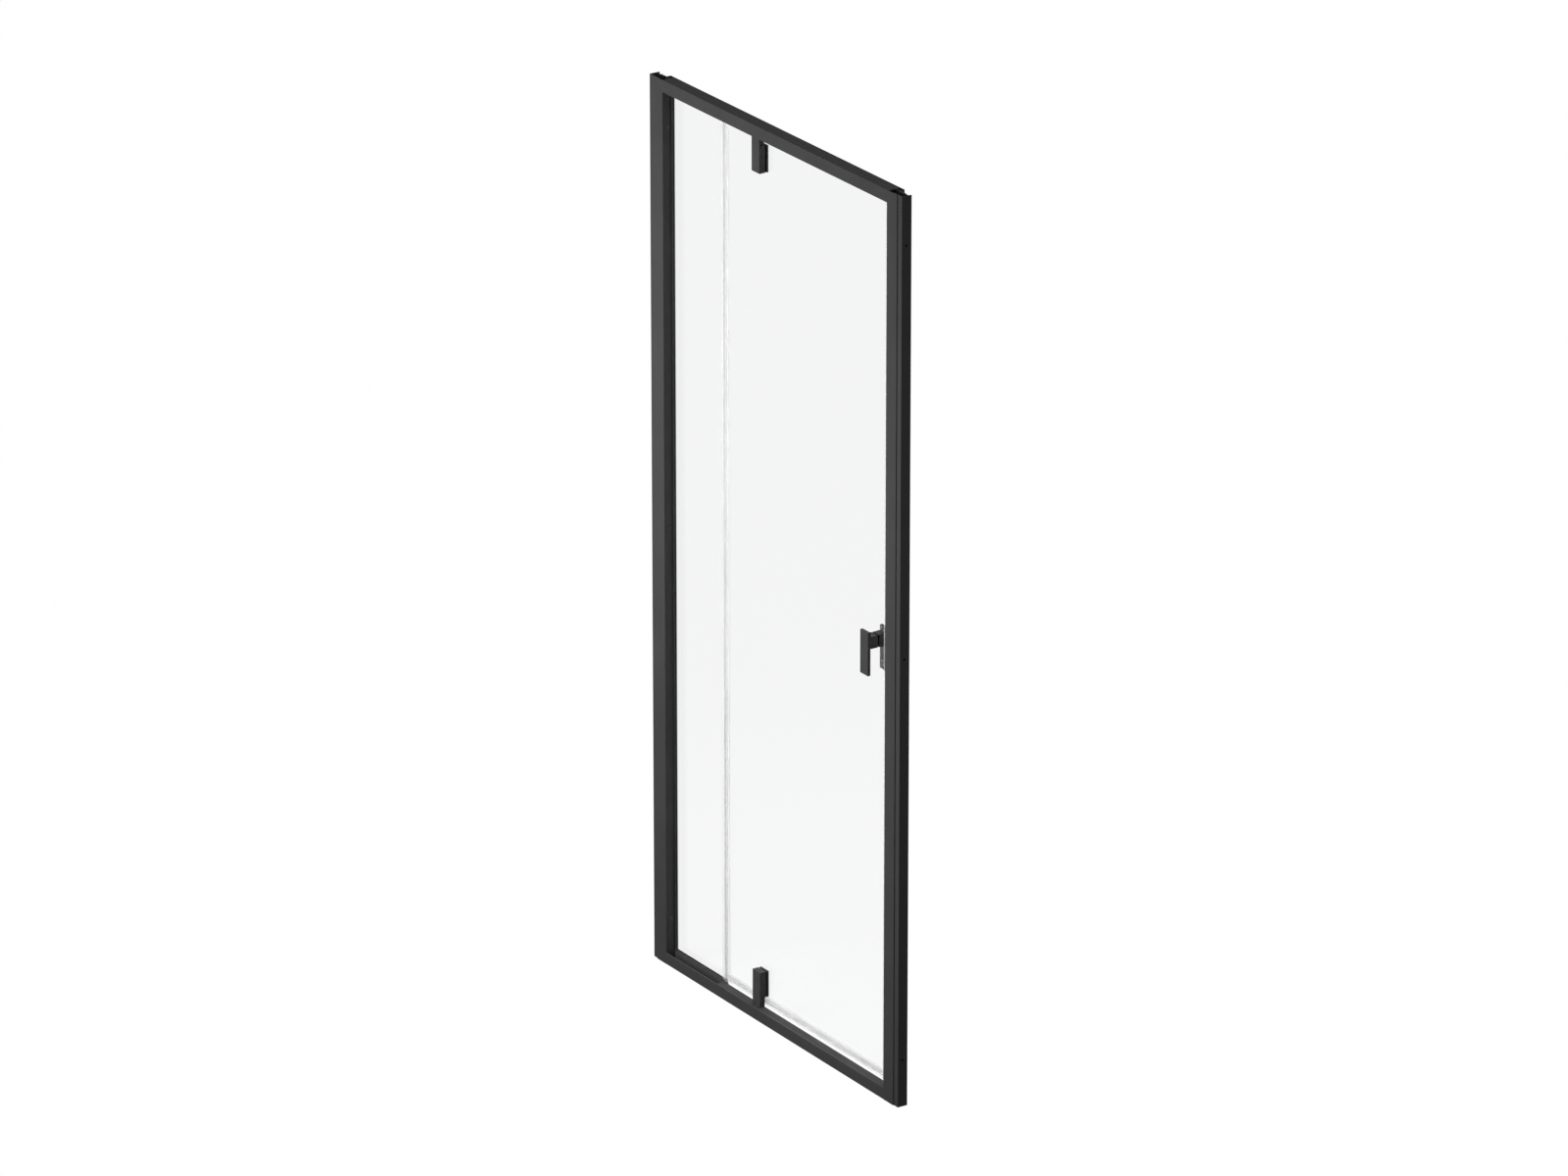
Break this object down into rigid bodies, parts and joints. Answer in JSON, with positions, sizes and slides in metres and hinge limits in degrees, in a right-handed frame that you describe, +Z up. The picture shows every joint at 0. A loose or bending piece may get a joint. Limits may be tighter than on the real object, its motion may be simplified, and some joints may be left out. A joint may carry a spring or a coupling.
{
  "type": "pivot shower door",
  "caption": "Framed pivot shower door with a narrow fixed pane, clear glass leaf on inset pivots, clear seals and a small upright handle, black frame.",
  "frame": {"origin": "bottom centre of the frame: half way along the doorway, on the middle plane of the glass, at the level of the shower tray", "axes": "+X along the doorway to the closing side, +Y from outside into the shower, +Z up"},
  "size_m": [0.9, 0.0544, 1.9],
  "materials": {
    "black_frame": "matt black powder coat with a fine texture on extruded aluminium",
    "black_hardware": "matt black powder coat on cast and milled metal, edges slightly rounded",
    "black_screws": "blackened steel screws",
    "black_plastic": "matt black moulded plastic",
    "clear_glass": "clear toughened glass, 5 mm, polished edges with a faint green",
    "clear_seal": "clear extruded vinyl, slightly milky",
    "black_rubber": "matt black rubber",
    "grey_nylon": "grey moulded nylon",
    "steel": "stainless steel, turned",
    "magnet_rubber": "dark magnetic rubber strip"
  },
  "bodies": {
    "frame": {"left_wall_profile": "black_frame", "right_wall_profile": "black_frame", "left_jamb": "black_frame", "right_jamb": "black_frame", "top_rail": "black_frame", "bottom_rail": "black_frame", "sill_cover": "black_frame", "top_rail_infill": "black_frame", "fixed_glass_sill_channel": "black_frame", "corner_screws": "black_screws", "jamb_fixing_screws": "black_screws", "jamb_hole_caps": "black_plastic", "fixed_glass": "clear_glass", "fixed_glass_gaskets": "black_rubber", "glass_setting_blocks": "black_plastic", "fixed_glass_edge_seal": "clear_seal", "top_bearing_block": "grey_nylon", "bottom_bearing_block": "grey_nylon", "bearing_screws": "steel", "pivot_washers": "steel", "strike_seal": "clear_seal", "strike_magnet": "magnet_rubber"},
    "door": {"door_glass": "clear_glass", "top_pivot_block": "black_hardware", "bottom_pivot_block": "black_hardware", "top_pivot_clamp_plate": "black_hardware", "bottom_pivot_clamp_plate": "black_hardware", "pivot_gaskets": "black_rubber", "pivot_clamp_screws": "black_screws", "pivot_glass_sleeves": "grey_nylon", "top_pivot_pin": "steel", "bottom_pivot_pin": "steel", "pivot_grub_screws": "black_screws", "door_bottom_seal": "clear_seal", "door_hinge_edge_seal": "clear_seal", "door_closing_seal": "clear_seal", "door_closing_magnet": "magnet_rubber", "handle_outer_grip": "black_hardware", "handle_inner_grip": "black_hardware", "handle_gaskets": "black_rubber", "handle_glass_sleeve": "grey_nylon", "handle_stud": "steel", "handle_grub_screws": "black_screws"}
  },
  "joints": [
    {"name": "door_pivot", "type": "hinge", "parent": "frame", "child": "door", "pos_m": [-0.076, -0.012, 0.95], "axis": [0, 0, -1], "range_deg": [0, 90]}
  ]
}
